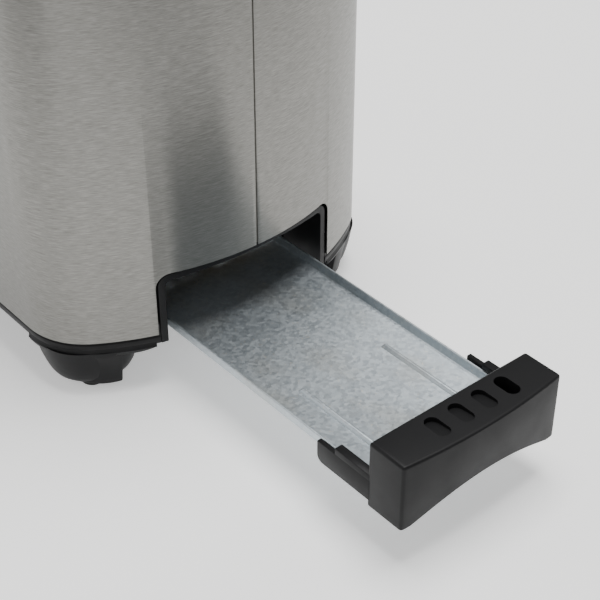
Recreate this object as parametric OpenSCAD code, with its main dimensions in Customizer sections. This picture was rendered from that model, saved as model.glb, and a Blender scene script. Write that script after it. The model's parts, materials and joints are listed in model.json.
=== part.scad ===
// Two-slot pop-up toaster with a pull-out crumb tray, in millimetres.
// +X is the way the crumb tray pulls out, +Z is up, and the origin is on the table
// under the middle of the body. The tray is drawn pulled out, the carriage raised.

/* [Body] */
// Length of the body along X, between the crowns of its two bowed ends
body_l = 290; // [270:1:350]
// Width of the body along Y
body_w = 190; // [158:1:230]
// Height of the body above the table
body_h = 213; // [180:1:255]
// Radius of the body's four upright corners
corner_r = 35; // [25:1:45]
// Distance from an end's crown back to the corner centres
corner_back = 52.7; // [48:0.1:60]
// Thickness of the steel wrap panels
panel_t = 0.8; // [0.5:0.1:1.2]
// Gap between the two wrap panels at the tray end
seam_gap = 1; // [0.6:0.1:2]
// Height of the steel panels' lower edge above the table
panel_z = 30.5; // [28:0.5:36]
// Thickness of the moulded plastic walls
wall = 2.5; // [2:0.1:3.5]

/* [Feet] */
// Outer radius of a foot where it leaves the skirt
foot_top_r = 33.5; // [28:0.5:34]
// Outer radius of a foot at its underside
foot_bottom_r = 27.5; // [20:0.5:28]
// Radius of a rubber pad
pad_r = 5.8; // [5:0.1:8]
// Thickness of a rubber pad
pad_t = 2; // [1.5:0.5:4]

/* [Crumb tray] */
// Half the tray's outside width
tray_half_w = 42.8; // [36:0.1:44]
// Length of the sheet metal tray
tray_l = 190; // [170:1:205]
// Thickness of the tray's sheet
tray_t = 0.8; // [0.5:0.1:1]
// Depth of the tray from its rim to its floor
tray_depth = 5; // [4:0.5:6]
// Height of the tray's rim above the table
rim_z = 33; // [32:0.5:36]
// How far the tray is drawn out of its closed place
tray_out = 155; // [120:1:160]
// Height of the tray's handle
handle_h = 34.7; // [28:0.1:36]
// Length of the handle along X, at its ends
handle_d = 20.5; // [18:0.1:24]
// How far the handle's underside arches up in its middle
handle_arch = 9.5; // [5:0.5:12]

/* [Bread slots] */
// Length of a bread slot
slot_l = 160; // [150:1:164]
// Width of a bread slot
slot_w = 34; // [28:1:36]
// Distance between the middles of the two slots
slot_pitch = 72; // [68:1:76]
// Radius of the bread guides' hinge rods
guide_rod_r = 1.2; // [1:0.1:1.5]
// Radius of the carriage's guide posts
post_r = 2.5; // [2:0.1:3.5]

/* [Controls] */
// Width of the control panel
fascia_w = 84; // [80:1:90]
// Radius of the browning knob
knob_r = 15; // [10:0.5:16]
// Radius of the browning control's shaft
shaft_r = 3; // [2.5:0.1:3.5]
// Width of a push button
button_w = 13; // [10:0.5:15]
// Height of a push button
button_h = 7; // [6:0.5:9]
// Distance between the middles of the push buttons
button_pitch = 18; // [14:1:20]

/* [Hidden] */
$fn = 64;

// Clearances
running = 0.05;      // radial, a shaft or rod turning or sliding in its bore
loose = 0.3;         // between a cap or button and the hole it moves in
easy = 0.9;          // between the tray's handle and the tray mouth
hair = 0.1;          // between a skin and the lip behind it
eps = 0.01;

// Body outline: two bowed ends, two straight sides and tangent corners
half_l = body_l / 2;
half_w = body_w / 2;
corner_x = half_l - corner_back;
corner_y = half_w - corner_r;
bow_r = (pow(corner_back, 2) + pow(corner_y, 2) - pow(corner_r, 2))
    / (2 * (corner_back - corner_r));
bow_x0 = half_l - bow_r;
function bow_x(y, inset = 0) = bow_x0 + sqrt(pow(bow_r - inset, 2) - y * y);

// Heights
skirt_z = panel_z - 6.5;            // underside of the base
skirt_top = panel_z - 1.2;          // a shadow gap stays under the steel
skirt_inset = 0.6;
floor_inset = 3;
lip_t = 1.5;                        // lips that hold the steel from behind
base_lip_h = 5.5;
cover_lip_h = 8;
floor_z = skirt_z + wall;           // inside floor of the base
cover_z = body_h - 9;               // top edge of the steel
frame_z = body_h - 19;              // underside of the oven's top frame
frame_t = 1;
tray_floor_z = rim_z - tray_depth;

// Tray mouth in the steel and its moulded surround
mouth_half_w = 51.7;
mouth_z = rim_z + 30.6;
mouth_r = 7;
surround_gap = 1.5;
surround_t = 3.5;
tunnel_half_w = mouth_half_w - surround_gap - surround_t;
tunnel_z = mouth_z - surround_gap - surround_t;
surround_bow = 6;                    // how far its bowed front stands out in the middle
surround_bow_r = (pow(tunnel_half_w + surround_t, 2) + pow(surround_bow, 2)) / (2 * surround_bow);
surround_x = bow_x(mouth_half_w) - 0.4;
tunnel_l = 28;

// Handle and tray
handle_half_w = tunnel_half_w - easy;
handle_bow = 3.2;
handle_bow_r = (pow(handle_half_w, 2) + pow(handle_bow, 2)) / (2 * handle_bow);
handle_z = rim_z - 13.8;
handle_front = surround_x + 3 + tray_out;    // at the handle's two ends
handle_back = handle_front - handle_d;
prong_l = 31.3;
prong_t = 2.5;
prong_clear = 0.7;
prong_y = tray_half_w + prong_clear;
prong_z = rim_z - 10;
rim_w = 1.3;
rim_h = 1;
wall_y = tray_half_w - 0.3;          // outer face of the tray's side walls
rib_y = 25;
rib_w = 3;
rib_h = 0.8;
rib_l = 62;
dimple_l = 13;
dimple_w = 7;
dimple_pitch = 13.6;
dimple_depth = 2.5;
deep_dimple = 8;

// Oven
bulkhead_t = 1;
tray_bulk_x = surround_x - tunnel_l - 3;     // inner face, tray end
control_bay = 79;                    // from the lever end's crown to the oven
lever_bulk_x = control_bay - half_l; // inner face, lever end
oven_mid_x = (tray_bulk_x + lever_bulk_x) / 2;
oven_l = tray_bulk_x - lever_bulk_x;
slot_y = slot_pitch / 2;
oven_half_w = slot_pitch;
trim_x = 8;                          // slot plate's margins round the slots
trim_y = 7;
trim_sink = 1.2;                     // depth of its bed in the cover
trim_low = 0.2;                      // how far it lies below the cover's top
collar_t = 1;
sheet_t = 0.6;
bulkhead_half_w = oven_half_w + 2;
leg_y = tunnel_half_w + 5;           // the bulkheads stand clear of the tray
arch_z = rim_z + 5;
board_t = 0.8;
board_gap = 28;                      // from a slot's middle to its heater boards
board_z = 50;
guide_offset = slot_w / 2 - 1.5;     // from a slot's middle to its bread guides
guide_z = 54;
guide_h = frame_z - 10 - guide_z;
guide_wire_r = 0.9;

// Carriage
lift_down_z = 55;
lift_z = body_h - 78;                // the bread shelf at rest
travel = lift_z - lift_down_z;
post_x = lever_bulk_x - 15;
post_y = 28;
boss_r = 5;
carriage_t = 2;
carriage_x = lever_bulk_x - bulkhead_t - 6;  // face towards the lever
arm_t = 2;
arm_h = 6;
core_top = 64;
keeper_gap = 0.3;
keeper_z = core_top + travel + keeper_gap;
keeper_t = 3;
shelf_t = 4.7;
shelf_z = keeper_z + keeper_t;
spring_r = 4;
spring_wire_r = 0.6;
spring_turns = 12;
lever_y = 20;
tongue_w = 6;
tongue_h = 6;
tongue_z = lift_z - 7;
lever_gap = 2;                       // from the fascia's crown to the lever knob

// Controls
fascia_t = 2.5;
control_y = -14;
button_top_z = body_h - 55;
function button_z(i) = button_top_z - i * button_pitch;
knob_z = button_z(3) - 26;
knob_gap = 1;
knob_d = 14;
board_x = -half_l + 21;              // front face of the control board
pcb_t = 1.6;
pcb_z = knob_z - 14;
pcb_h = body_h - 35 - pcb_z;
switch_h = 4;
button_travel = 1.5;
button_proud = 2.5;
lamp_r = 1.5;
lamp_y = -1.5;
button_names = ["cancel_button", "reheat_button", "defrost_button", "bagel_button"];

// Screws
screw_r = 1.5;
head_r = 3;
head_h = 2;
boss_h = 8;                          // screw bosses above the base's floor
stem_r = 2.4;                        // a rubber pad's stem
stem_h = 4;
tray_screw_y = 32;
tray_screw_z = tray_floor_z + 2.4;
cover_post_x = half_l - 57;
cover_post_y = half_w - 15;
cover_post_r = 4;
flange_w = 10;
flange_y = 60;
pad_reach = 22;                      // from a corner's centre to its rubber pad
pad_angle = 39.5;
gland_x = -half_l + 42;
gland_y = -8;
cord_r = 3.5;
gland_r = 6;
term_x = gland_x - 8;
term_l = 20;
term_y = 15;                         // its first terminal
term_pitch = 8;

// Rails the tray runs between, and the magnet's pedestal
rail_y = tray_half_w + 1.4;
rail_t = 1.6;
rail_h = 4.5;
magnet_x0 = post_x - 8;
magnet_x1 = post_x + 4;
magnet_half_w = 13;
magnet_x = post_x - 2;
magnet_pitch = 14;
core_r = 3.2;
contact_z = 42;
pedestal_z = 40;
yoke_z = 44;
chassis_screw_at = [
    [tray_bulk_x + bulkhead_t + flange_w / 2, flange_y],
    [tray_bulk_x + bulkhead_t + flange_w / 2, -flange_y],
    [lever_bulk_x - bulkhead_t - flange_w / 2, flange_y],
    [lever_bulk_x - bulkhead_t - flange_w / 2, -flange_y]
];
function pad_x() = corner_x + pad_reach * cos(pad_angle);
function pad_y() = corner_y + pad_reach * sin(pad_angle);

// The body's plan, drawn in by a given amount
module plan(inset = 0) {
    r = corner_r - inset;
    far = body_l;
    square([2 * corner_x, 2 * (corner_y + r)], center = true);
    square([2 * (corner_x + r / 4), 2 * corner_y], center = true);
    for (sx = [-1, 1]) {
        for (sy = [-1, 1])
            translate([sx * corner_x, sy * corner_y])
                circle(r);
        intersection() {
            translate([sx * bow_x0, 0])
                circle(bow_r - inset, $fn = 160);
            polygon([
                [sx * bow_x0, 0],
                [sx * (bow_x0 + far * (corner_x - bow_x0)), far * corner_y],
                [sx * (bow_x0 + far * (corner_x - bow_x0)), -far * corner_y]
            ]);
        }
    }
}

module slab(z0, z1, inset = 0) {
    translate([0, 0, z0])
        linear_extrude(z1 - z0)
            plan(inset);
}

module ring(z0, z1, outer, inner) {
    translate([0, 0, z0])
        linear_extrude(z1 - z0)
            difference() {
                plan(outer);
                plan(inner);
            }
}

// A block given by its two corners
module block(a, b) {
    translate(a)
        cube(b - a);
}

module rod_x(x0, x1, y, z, r) {
    translate([x0, y, z])
        rotate([0, 90, 0])
            cylinder(h = x1 - x0, r = r, $fn = 32);
}

module rod_y(x, y0, y1, z, r) {
    translate([x, y0, z])
        rotate([-90, 0, 0])
            cylinder(h = y1 - y0, r = r, $fn = 24);
}

module rod_z(x, y, z0, z1, r) {
    translate([x, y, z0])
        cylinder(h = z1 - z0, r = r, $fn = 32);
}

// A round-cornered outline in Y and Z, run along X
module frame_prism(x0, x1, half, z0, z1, r) {
    translate([x0, 0, 0])
        rotate([90, 0, 90])
            linear_extrude(x1 - x0) {
                translate([-half, z0])
                    square([2 * half, z1 - z0 - r]);
                translate([-half + r, z0])
                    square([2 * (half - r), z1 - z0]);
                for (s = [-1, 1])
                    translate([s * (half - r), z1 - r])
                        circle(r);
            }
}

module tray_mouth(half, top, r) {
    frame_prism(0, body_l, half, 0, top, r);
}

// A corner foot: a bowl-sided sector turned about the body's corner centre
module foot() {
    h = skirt_z + eps - pad_t;
    translate([0, 0, pad_t])
        rotate([0, 0, 5])
            rotate_extrude(angle = 77)
                polygon([
                    [12, 0], [foot_bottom_r, 0],
                    [foot_bottom_r + 0.18 * (foot_top_r - foot_bottom_r), 0.25 * h],
                    [foot_bottom_r + 0.45 * (foot_top_r - foot_bottom_r), 0.55 * h],
                    [foot_top_r, h], [12, h]
                ]);
}

module surround_body() {
    intersection() {
        translate([surround_x + surround_bow - surround_bow_r, 0, 0])
            cylinder(h = body_h, r = surround_bow_r, $fn = 200);
        difference() {
            frame_prism(surround_x - tunnel_l, body_l, tunnel_half_w + surround_t,
                skirt_z, tunnel_z + surround_t, mouth_r - surround_gap);
            frame_prism(0, body_l + 1, tunnel_half_w, 0, tunnel_z, 3);
        }
    }
}

module base_moulding() {
    screw_at = [[cover_post_x, cover_post_y], [-cover_post_x, cover_post_y],
                [cover_post_x, -cover_post_y], [-cover_post_x, -cover_post_y]];
    color("#2f2f30")
    difference() {
        union() {
            difference() {
                union() {
                    slab(skirt_z, floor_z, floor_inset);
                    ring(skirt_z + 0.8, skirt_top, skirt_inset, floor_inset + eps);
                    ring(skirt_top - 1, panel_z + base_lip_h, panel_t + hair, panel_t + hair + lip_t);
                }
                tray_mouth(tunnel_half_w + surround_t - eps, mouth_z, mouth_r);
                block([-body_l, -fascia_w / 2 - 1, skirt_top], [0, fascia_w / 2 + 1, panel_z + 6]);
            }
            tray_end_floor();
            surround_body();
            for (sx = [0, 1], sy = [0, 1])
                mirror([sx, 0, 0])
                    mirror([0, sy, 0])
                        translate([corner_x, corner_y, 0])
                            foot();
            for (p = screw_at)
                rod_z(p[0], p[1], skirt_z, floor_z + boss_h, boss_r);
            for (s = [-1, 1])
                translate([lever_bulk_x - 8, s * rail_y - rail_t / 2, floor_z - eps])
                    cube([oven_l - 14, rail_t, rail_h]);
            block([magnet_x0, -magnet_half_w, floor_z - eps], [magnet_x1, magnet_half_w, pedestal_z]);
        }
        // the handle drops into the floor, and its prongs into two slots behind it
        block([handle_back - tray_out - 2, -tunnel_half_w, 0], [body_l, tunnel_half_w, floor_z + 1]);
        for (s = [-1, 1])
            translate([handle_back - tray_out - prong_l - 2,
                    s * (prong_y + prong_t / 2) - prong_t / 2 - 0.5, 0])
                cube([prong_l + 3, prong_t + 1.2, floor_z + 1]);
        for (p = screw_at) {
            rod_z(p[0], p[1], 0, floor_z + boss_h + 1, screw_r);
            rod_z(p[0], p[1], 0, skirt_z + head_h + 1, head_r + 0.5);
        }
        for (sx = [0, 1], sy = [0, 1])
            mirror([sx, 0, 0])
                mirror([0, sy, 0])
                    rod_z(pad_x(), pad_y(), 0, pad_t + stem_h, stem_r + hair);
        for (p = chassis_screw_at)
            rod_z(p[0], p[1], 0, floor_z + 1, screw_r);
        rod_z(gland_x, gland_y, 0, floor_z + 1, gland_r);
        for (s = [-1, 1])
            rod_z(post_x, s * post_y, floor_z - 1.5, floor_z + 1, post_r);
    }
}

// The base's floor under the tray, where the mouth's cut would leave it open
module tray_end_floor() {
    intersection() {
        slab(skirt_z, floor_z, floor_inset);
        block([0, -leg_y, 0], [surround_x - tunnel_l + 6, leg_y, body_h]);
    }
}

module rubber_foot(sx, sy) {
    color("#1c1c1d") {
        rod_z(sx * pad_x(), sy * pad_y(), 0, pad_t, pad_r);
        rod_z(sx * pad_x(), sy * pad_y(), pad_t - eps, pad_t + stem_h, stem_r);
    }
}

module screw_up(x, y, z, l) {
    rod_z(x, y, z, z + head_h, head_r);
    rod_z(x, y, z + head_h - eps, z + l, screw_r);
}

module base_screws() {
    color("#b8b8b8")
        for (sx = [-1, 1], sy = [-1, 1])
            screw_up(sx * cover_post_x, sy * cover_post_y, skirt_z + 1, 22);
}

module cord_gland() {
    color("#232324")
        difference() {
            union() {
                rod_z(gland_x, gland_y, skirt_z, floor_z + 4, gland_r);
                rod_z(gland_x, gland_y, skirt_z - 2, skirt_z, gland_r + 2.5);
                rod_z(gland_x, gland_y, floor_z, floor_z + 2, gland_r + 1.5);
            }
            rod_z(gland_x, gland_y, 0, floor_z + 9, cord_r);
        }
}

// One steel wrap: side is -1 or +1
module wrap_panel(side) {
    y0 = seam_gap / 2;
    color("#a3a3a1")
        intersection() {
            difference() {
                ring(panel_z, cover_z, 0, panel_t);
                tray_mouth(mouth_half_w, mouth_z, mouth_r);
                block([-body_l, -fascia_w / 2 - hair, 0], [0, fascia_w / 2 + hair, body_h]);
            }
            translate([-body_l, side > 0 ? y0 : -body_w - y0, 0])
                cube([2 * body_l, body_w, body_h]);
        }
}

// The slot plate's outline, from its bed up to z1
module trim_block(z1) {
    block([oven_mid_x - slot_l / 2 - trim_x, -slot_y - slot_w / 2 - trim_y, body_h - trim_sink],
        [oven_mid_x + slot_l / 2 + trim_x, slot_y + slot_w / 2 + trim_y, z1]);
}

// A bread slot, widened all round by grow
module slot_block(side, grow, z0, z1) {
    block([oven_mid_x - slot_l / 2 - grow, side * slot_y - slot_w / 2 - grow, z0],
        [oven_mid_x + slot_l / 2 + grow, side * slot_y + slot_w / 2 + grow, z1]);
}

module top_cover() {
    color("#2b2b2c")
    difference() {
        union() {
            slab(cover_z, body_h - 4, 0.3);
            slab(body_h - 4 - eps, body_h - 1.5, 1.4);
            slab(body_h - 1.5 - eps, body_h, 3.6);
            difference() {
                ring(cover_z - cover_lip_h, cover_z + eps, panel_t + hair, panel_t + hair + lip_t);
                block([-body_l, -fascia_w / 2 - 1, 0], [0, fascia_w / 2 + 1, body_h]);
            }
            for (sx = [-1, 1], sy = [-1, 1])
                rod_z(sx * cover_post_x, sy * cover_post_y, floor_z + boss_h, cover_z + eps, cover_post_r);
        }
        trim_block(body_h + 1);
        for (s = [-1, 1])
            slot_block(s, collar_t, cover_z - 1, body_h + 1);
        for (sx = [-1, 1], sy = [-1, 1])
            rod_z(sx * cover_post_x, sy * cover_post_y, floor_z + boss_h - 1, floor_z + 24, screw_r);
    }
}

// The bright plate around the two slots, with a collar down each slot
module slot_plate() {
    color("#a8a8a6")
    difference() {
        union() {
            trim_block(body_h - trim_low);
            for (s = [-1, 1])
                slot_block(s, collar_t, frame_z + frame_t, body_h - trim_low);
        }
        for (s = [-1, 1])
            slot_block(s, 0, 0, body_h + 1);
    }
}

module control_fascia() {
    color("#262627")
    difference() {
        intersection() {
            ring(panel_z, cover_z, 0, fascia_t);
            block([-body_l, -fascia_w / 2, 0], [0, fascia_w / 2, body_h]);
        }
        block([-body_l, lever_y - tongue_w / 2 - 1.5, tongue_z - travel - 3],
            [-half_l / 2, lever_y + tongue_w / 2 + 1.5, tongue_z + tongue_h + 3]);
        for (i = [0:3])
            block([-body_l, control_y - button_w / 2 - loose, button_z(i) - button_h / 2 - loose],
                [-half_l / 2, control_y + button_w / 2 + loose, button_z(i) + button_h / 2 + loose]);
        rod_x(-body_l, -half_l / 2, control_y, knob_z, shaft_r + 1);
        for (i = [0:3])
            rod_x(-body_l, -half_l / 2, lamp_y, button_z(i), lamp_r);
    }
}

// A pressed bulkhead: inner face at x, standing away from the oven by dir
module bulkhead(x, dir) {
    x1 = x + dir * bulkhead_t;
    lo = min(x, x1);
    difference() {
        union() {
            block([lo, -bulkhead_half_w, floor_z], [lo + bulkhead_t, bulkhead_half_w, frame_z]);
            for (s = [-1, 1])
                translate([dir > 0 ? lo : lo - flange_w, s * flange_y - 8, floor_z])
                    cube([flange_w + bulkhead_t, 16, bulkhead_t]);
        }
        block([lo - 1, -leg_y, 0], [lo + bulkhead_t + 1, leg_y, arch_z]);
        for (s = [-1, 1], t = [-1, 1])
            rod_x(lo - 1, lo + bulkhead_t + 1, s * slot_y + t * guide_offset, guide_z,
                guide_rod_r + running);
        for (p = chassis_screw_at)
            rod_z(p[0], p[1], 0, floor_z + 4, screw_r);
    }
}

module lever_bulkhead() {
    color("#b9bcbd")
    difference() {
        bulkhead(lever_bulk_x, -1);
        for (s = [-1, 1])
            block([lever_bulk_x - bulkhead_t - 1, s * slot_y - arm_t / 2 - 1.5, lift_down_z - 4],
                [lever_bulk_x + 1, s * slot_y + arm_t / 2 + 1.5, lift_z + arm_h + 6]);
    }
}

module tray_bulkhead() {
    color("#b9bcbd")
        bulkhead(tray_bulk_x, 1);
}

module reflector(side) {
    color("#c4c7c8")
        translate([lever_bulk_x, side > 0 ? oven_half_w : -oven_half_w - sheet_t, arch_z + 4])
            cube([oven_l, sheet_t, frame_z - arch_z - 4]);
}

module centre_divider() {
    color("#c4c7c8")
        block([lever_bulk_x, -sheet_t / 2, arch_z + 4], [tray_bulk_x, sheet_t / 2, frame_z]);
}

module oven_top_frame() {
    color("#b9bcbd")
    difference() {
        union() {
            block([lever_bulk_x - bulkhead_t, -bulkhead_half_w, frame_z],
                [tray_bulk_x + bulkhead_t, bulkhead_half_w, frame_z + frame_t]);
            block([post_x - 8, -post_y - 8, frame_z],
                [lever_bulk_x, post_y + 8, frame_z + frame_t]);
        }
        for (s = [-1, 1]) {
            slot_block(s, 0, 0, body_h);
            rod_z(post_x, s * post_y, 0, body_h, post_r);
        }
    }
}

// Heater boards are counted from -Y to +Y; face is the side that looks at the bread
function board_y(i) = [-slot_y - board_gap, -slot_y + board_gap,
                       slot_y - board_gap, slot_y + board_gap][i];
function board_face(i) = (i % 2 == 0) ? 1 : -1;

module heater_board(i) {
    color("#cbb98a")
        block([lever_bulk_x, board_y(i) - board_t / 2, board_z],
            [tray_bulk_x, board_y(i) + board_t / 2, frame_z - 6]);
}

// Flat resistance strip, laid up and down the board in one run
module heater_ribbon(i) {
    n = 16;
    step = (oven_l - 20) / (n - 1);
    strip_w = 1.6;
    strip_t = 0.3;
    z0 = board_z + 6;
    z1 = frame_z - 12;
    y0 = board_face(i) > 0 ? board_y(i) + board_t / 2 : board_y(i) - board_t / 2 - strip_t;
    color("#7d6a5a")
        for (k = [0:n - 1]) {
            x = lever_bulk_x + 10 + k * step;
            translate([x - strip_w / 2, y0, z0])
                cube([strip_w, strip_t, z1 - z0]);
            if (k < n - 1)
                translate([x - strip_w / 2, y0, k % 2 == 0 ? z1 - strip_w : z0])
                    cube([step + strip_w, strip_t, strip_w]);
        }
}

module bus_bar() {
    z = frame_z - 16;
    color("#c9a54c") {
        block([tray_bulk_x + bulkhead_t, board_y(0) - 4, z],
            [tray_bulk_x + bulkhead_t + 1, board_y(3) + 4, z + 6]);
        for (i = [0:3])
            rod_x(tray_bulk_x + bulkhead_t + 1 - eps, tray_bulk_x + bulkhead_t + 2.2,
                board_y(i), z + 3, 2);
    }
}

module carriage_posts() {
    color("#c8cacc")
        for (s = [-1, 1])
            rod_z(post_x, s * post_y, floor_z - 1.5, frame_z + frame_t, post_r);
}

// A coil swept as one closed tube: rings of points along a helix, each in its own upright plane
module coil(r, wire_r, h, turns) {
    sides = 6;
    per_turn = 12;
    n = turns * per_turn;
    points = [for (i = [0:n]) for (k = [0:sides - 1])
        let (a = 360 * i / per_turn, b = 360 * k / sides, q = r + wire_r * cos(b))
            [q * cos(a), q * sin(a), wire_r + (h - 2 * wire_r) * i / n + wire_r * sin(b)]];
    walls = [for (i = [0:n - 1]) for (k = [0:sides - 1])
        let (j = (k + 1) % sides)
            [i * sides + k, (i + 1) * sides + k, (i + 1) * sides + j, i * sides + j]];
    start = [for (k = [0:sides - 1]) k];
    end = [for (k = [sides - 1:-1:0]) n * sides + k];
    polyhedron(points, concat([start], walls, [end]));
}

module return_spring() {
    z0 = shelf_z + shelf_t;
    color("#9aa0a4")
        translate([post_x, 0, z0])
            coil(spring_r, spring_wire_r, frame_z - z0, spring_turns);
}

module carriage_plate() {
    color("#aeb2b4")
    difference() {
        union() {
            block([carriage_x, -slot_y - 4, lift_z - 5],
                [carriage_x + carriage_t, slot_y + 4, lift_z + 15]);
            for (s = [-1, 1]) {
                rod_z(post_x, s * post_y, lift_z - 5, lift_z + 15, boss_r);
                block([post_x, s * post_y - 3, lift_z - 5],
                    [carriage_x + eps, s * post_y + 3, lift_z + 15]);
            }
            // shelf that carries the keeper and takes the spring's lower end
            block([post_x - 7, -7, shelf_z], [carriage_x + eps, 7, shelf_z + shelf_t]);
            // lever tongue
            block([-half_l - lever_gap - 5, lever_y - tongue_w / 2, tongue_z],
                [post_x - boss_r, lever_y + tongue_w / 2, tongue_z + tongue_h]);
            block([post_x - boss_r - eps, lever_y - tongue_w / 2, tongue_z],
                [carriage_x + eps, lever_y + tongue_w / 2, tongue_z + tongue_h]);
        }
        for (s = [-1, 1])
            rod_z(post_x, s * post_y, 0, body_h, post_r + running);
    }
}

module bread_lifter(side) {
    n = 8;
    y = side * slot_y;
    x1 = tray_bulk_x - 5;
    step = (x1 - 6 - lever_bulk_x - 10) / (n - 1);
    color("#a9adaf") {
        block([carriage_x + carriage_t, y - arm_t / 2, lift_z],
            [x1, y + arm_t / 2, lift_z + arm_h]);
        for (k = [0:n - 1])
            rod_y(lever_bulk_x + 10 + k * step, y - 10, y + 10, lift_z + arm_h - 1.5, 1.2);
    }
}

module armature_keeper() {
    color("#8c9093")
        block([post_x - 6, -12, keeper_z], [post_x + 6, 12, keeper_z + keeper_t]);
}

module lever_knob() {
    x1 = -half_l - lever_gap;
    color("#1f1f20")
        difference() {
            hull() {
                block([x1 - 5, lever_y - 15, tongue_z - 5], [x1, lever_y + 15, tongue_z + tongue_h + 4]);
                block([x1 - 16, lever_y - 13, tongue_z - 2], [x1 - 5, lever_y + 13, tongue_z + tongue_h + 1]);
            }
            block([x1 - 5, lever_y - tongue_w / 2, tongue_z],
                [x1 + 1, lever_y + tongue_w / 2, tongue_z + tongue_h]);
        }
}

// Bread guides are counted from -Y to +Y: hinge rod below, wires up, rod across the top
function guide_y(i) = [-slot_y - guide_offset, -slot_y + guide_offset,
                       slot_y - guide_offset, slot_y + guide_offset][i];

module bread_guide(i) {
    n = 12;
    x0 = lever_bulk_x + 8;
    step = (oven_l - 16) / (n - 1);
    color("#b5b8ba") {
        rod_x(lever_bulk_x - bulkhead_t - 2, tray_bulk_x + bulkhead_t + 2, guide_y(i), guide_z, guide_rod_r);
        rod_x(x0 - 2, tray_bulk_x - 6, guide_y(i), guide_z + guide_h, guide_wire_r);
        for (k = [0:n - 1])
            rod_z(x0 + k * step, guide_y(i), guide_z, guide_z + guide_h, guide_wire_r);
    }
}

module control_board() {
    color("#2f6b3a")
        block([board_x, -38, pcb_z], [board_x + pcb_t, 5, pcb_z + pcb_h]);
}

module board_components() {
    x = board_x + pcb_t;
    color("#3b4a5a") {
        block([x, -36, pcb_z + 6], [x + 12, -20, pcb_z + 24]);
        block([x, -16, pcb_z + 8], [x + 7, -4, pcb_z + 20]);
        rod_x(x, x + 14, -28, pcb_z + 36, 5);
        rod_x(x, x + 9, -12, pcb_z + 32, 4);
        block([x, -34, pcb_z + 52], [x + 3, -20, pcb_z + 62]);
    }
}

module magnet_core() {
    color("#7f8386") {
        block([magnet_x0, -magnet_half_w, pedestal_z], [magnet_x1, magnet_half_w, yoke_z]);
        for (s = [-1, 1])
            rod_z(magnet_x, s * magnet_pitch / 2, yoke_z - eps, core_top, core_r);
    }
}

module magnet_coils() {
    color("#b5702c")
        for (s = [-1, 1])
            difference() {
                rod_z(magnet_x, s * magnet_pitch / 2, yoke_z + 1, core_top - 3, magnet_pitch / 2 - 0.8);
                rod_z(magnet_x, s * magnet_pitch / 2, yoke_z, core_top, core_r + 0.2);
            }
}

module browning_potentiometer() {
    color("#3a5f8a")
        difference() {
            union() {
                rod_x(board_x - 7, board_x, control_y, knob_z, 8);
                block([board_x - 3, control_y - 8, knob_z - 10], [board_x, control_y + 8, knob_z]);
            }
            rod_x(board_x - 8, board_x - 1, control_y, knob_z, shaft_r + running);
        }
}

module browning_shaft() {
    color("#c9ccce")
        rod_x(-half_l - knob_gap - 8, board_x - 1.5, control_y, knob_z, shaft_r);
}

module browning_knob() {
    x1 = -half_l - knob_gap;
    color("#1f1f20")
        difference() {
            union() {
                rod_x(x1 - 4, x1, control_y, knob_z, knob_r);
                translate([x1 - knob_d, control_y, knob_z])
                    rotate([0, 90, 0])
                        rotate_extrude()
                            polygon([[0, 0], [knob_r - 3, 0], [knob_r - 2, 1],
                                     [knob_r - 1, knob_d - 4], [0, knob_d - 4]]);
                block([x1 - knob_d - 1, control_y - 1.2, knob_z + 2],
                    [x1 - knob_d + 1, control_y + 1.2, knob_z + knob_r - 4]);
            }
            rod_x(x1 - 8, x1 + 1, control_y, knob_z, shaft_r);
        }
}

// A push button: cap, flange behind the fascia, and stem to its switch
module push_button(i) {
    y = control_y;
    z = button_z(i);
    x_cap = -bow_x(y) - button_proud;
    x_flange = -bow_x(y + button_w / 2 + 1.5, fascia_t) + loose;
    x_flange2 = -bow_x(y - button_w / 2 - 1.5, fascia_t) + loose;
    xf = max(x_flange, x_flange2) + 0.2;
    color("#3a3a3b") {
        block([x_cap, y - button_w / 2, z - button_h / 2], [xf + 1.2, y + button_w / 2, z + button_h / 2]);
        block([xf, y - button_w / 2 - 1.5, z - button_h / 2 - 1.5],
            [xf + 1.2, y + button_w / 2 + 1.5, z + button_h / 2 + 1.5]);
        rod_x(xf + 1.2 - eps, board_x - switch_h - button_travel - 0.2, y, z, 2);
    }
}

module button_switches() {
    color("#18181a")
        for (i = [0:3]) {
            block([board_x - 2.5, control_y - 3, button_z(i) - 3], [board_x, control_y + 3, button_z(i) + 3]);
            rod_x(board_x - switch_h, board_x - 2.5 + eps, control_y, button_z(i), 1.6);
        }
}

module indicator_lights() {
    color("#d8e6ea")
        for (i = [0:3])
            rod_x(-bow_x(lamp_y) - 0.4, board_x, lamp_y, button_z(i), lamp_r - running);
}

module contact_block() {
    color("#4a4440")
        block([post_x - 18, -post_y - 6, floor_z], [post_x - 8, -post_y + 6, contact_z]);
}

module contact_leaves() {
    color("#c98a4b")
        for (s = [-1, 1])
            translate([post_x - 16, -post_y + s * (post_r + 1.7) - 1.2, contact_z])
                cube([18, 2.4, 0.5]);
}

module terminal_block() {
    color("#e6e2d6")
    difference() {
        block([term_x, term_y - term_pitch / 2, floor_z],
            [term_x + term_l, term_y + 2.5 * term_pitch, floor_z + 12]);
        for (k = [0:2])
            rod_z(term_x + term_l / 2, term_y + term_pitch * k, floor_z + 4, floor_z + 13, 2.4);
    }
}

// Two leads from the terminal block: across above the tray, then up the lever bulkhead
module internal_wires() {
    r = 1.1;
    bend_r = 1.4;
    color("#8a3b30")
        for (k = [0, 1]) {
            x1 = lever_bulk_x - bulkhead_t - 2.5 - 3.2 * k;
            y = term_y + term_pitch * k;
            y1 = oven_half_w - 4;
            z = rim_z + 2.5;
            rod_x(term_x + term_l, x1, y, z, r);
            translate([x1, y, z])
                sphere(bend_r, $fn = 24);
            rod_y(x1, y, y1, z, r);
            translate([x1, y1, z])
                sphere(bend_r, $fn = 24);
            rod_z(x1, y1, z, frame_z - 20, r);
        }
}

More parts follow.
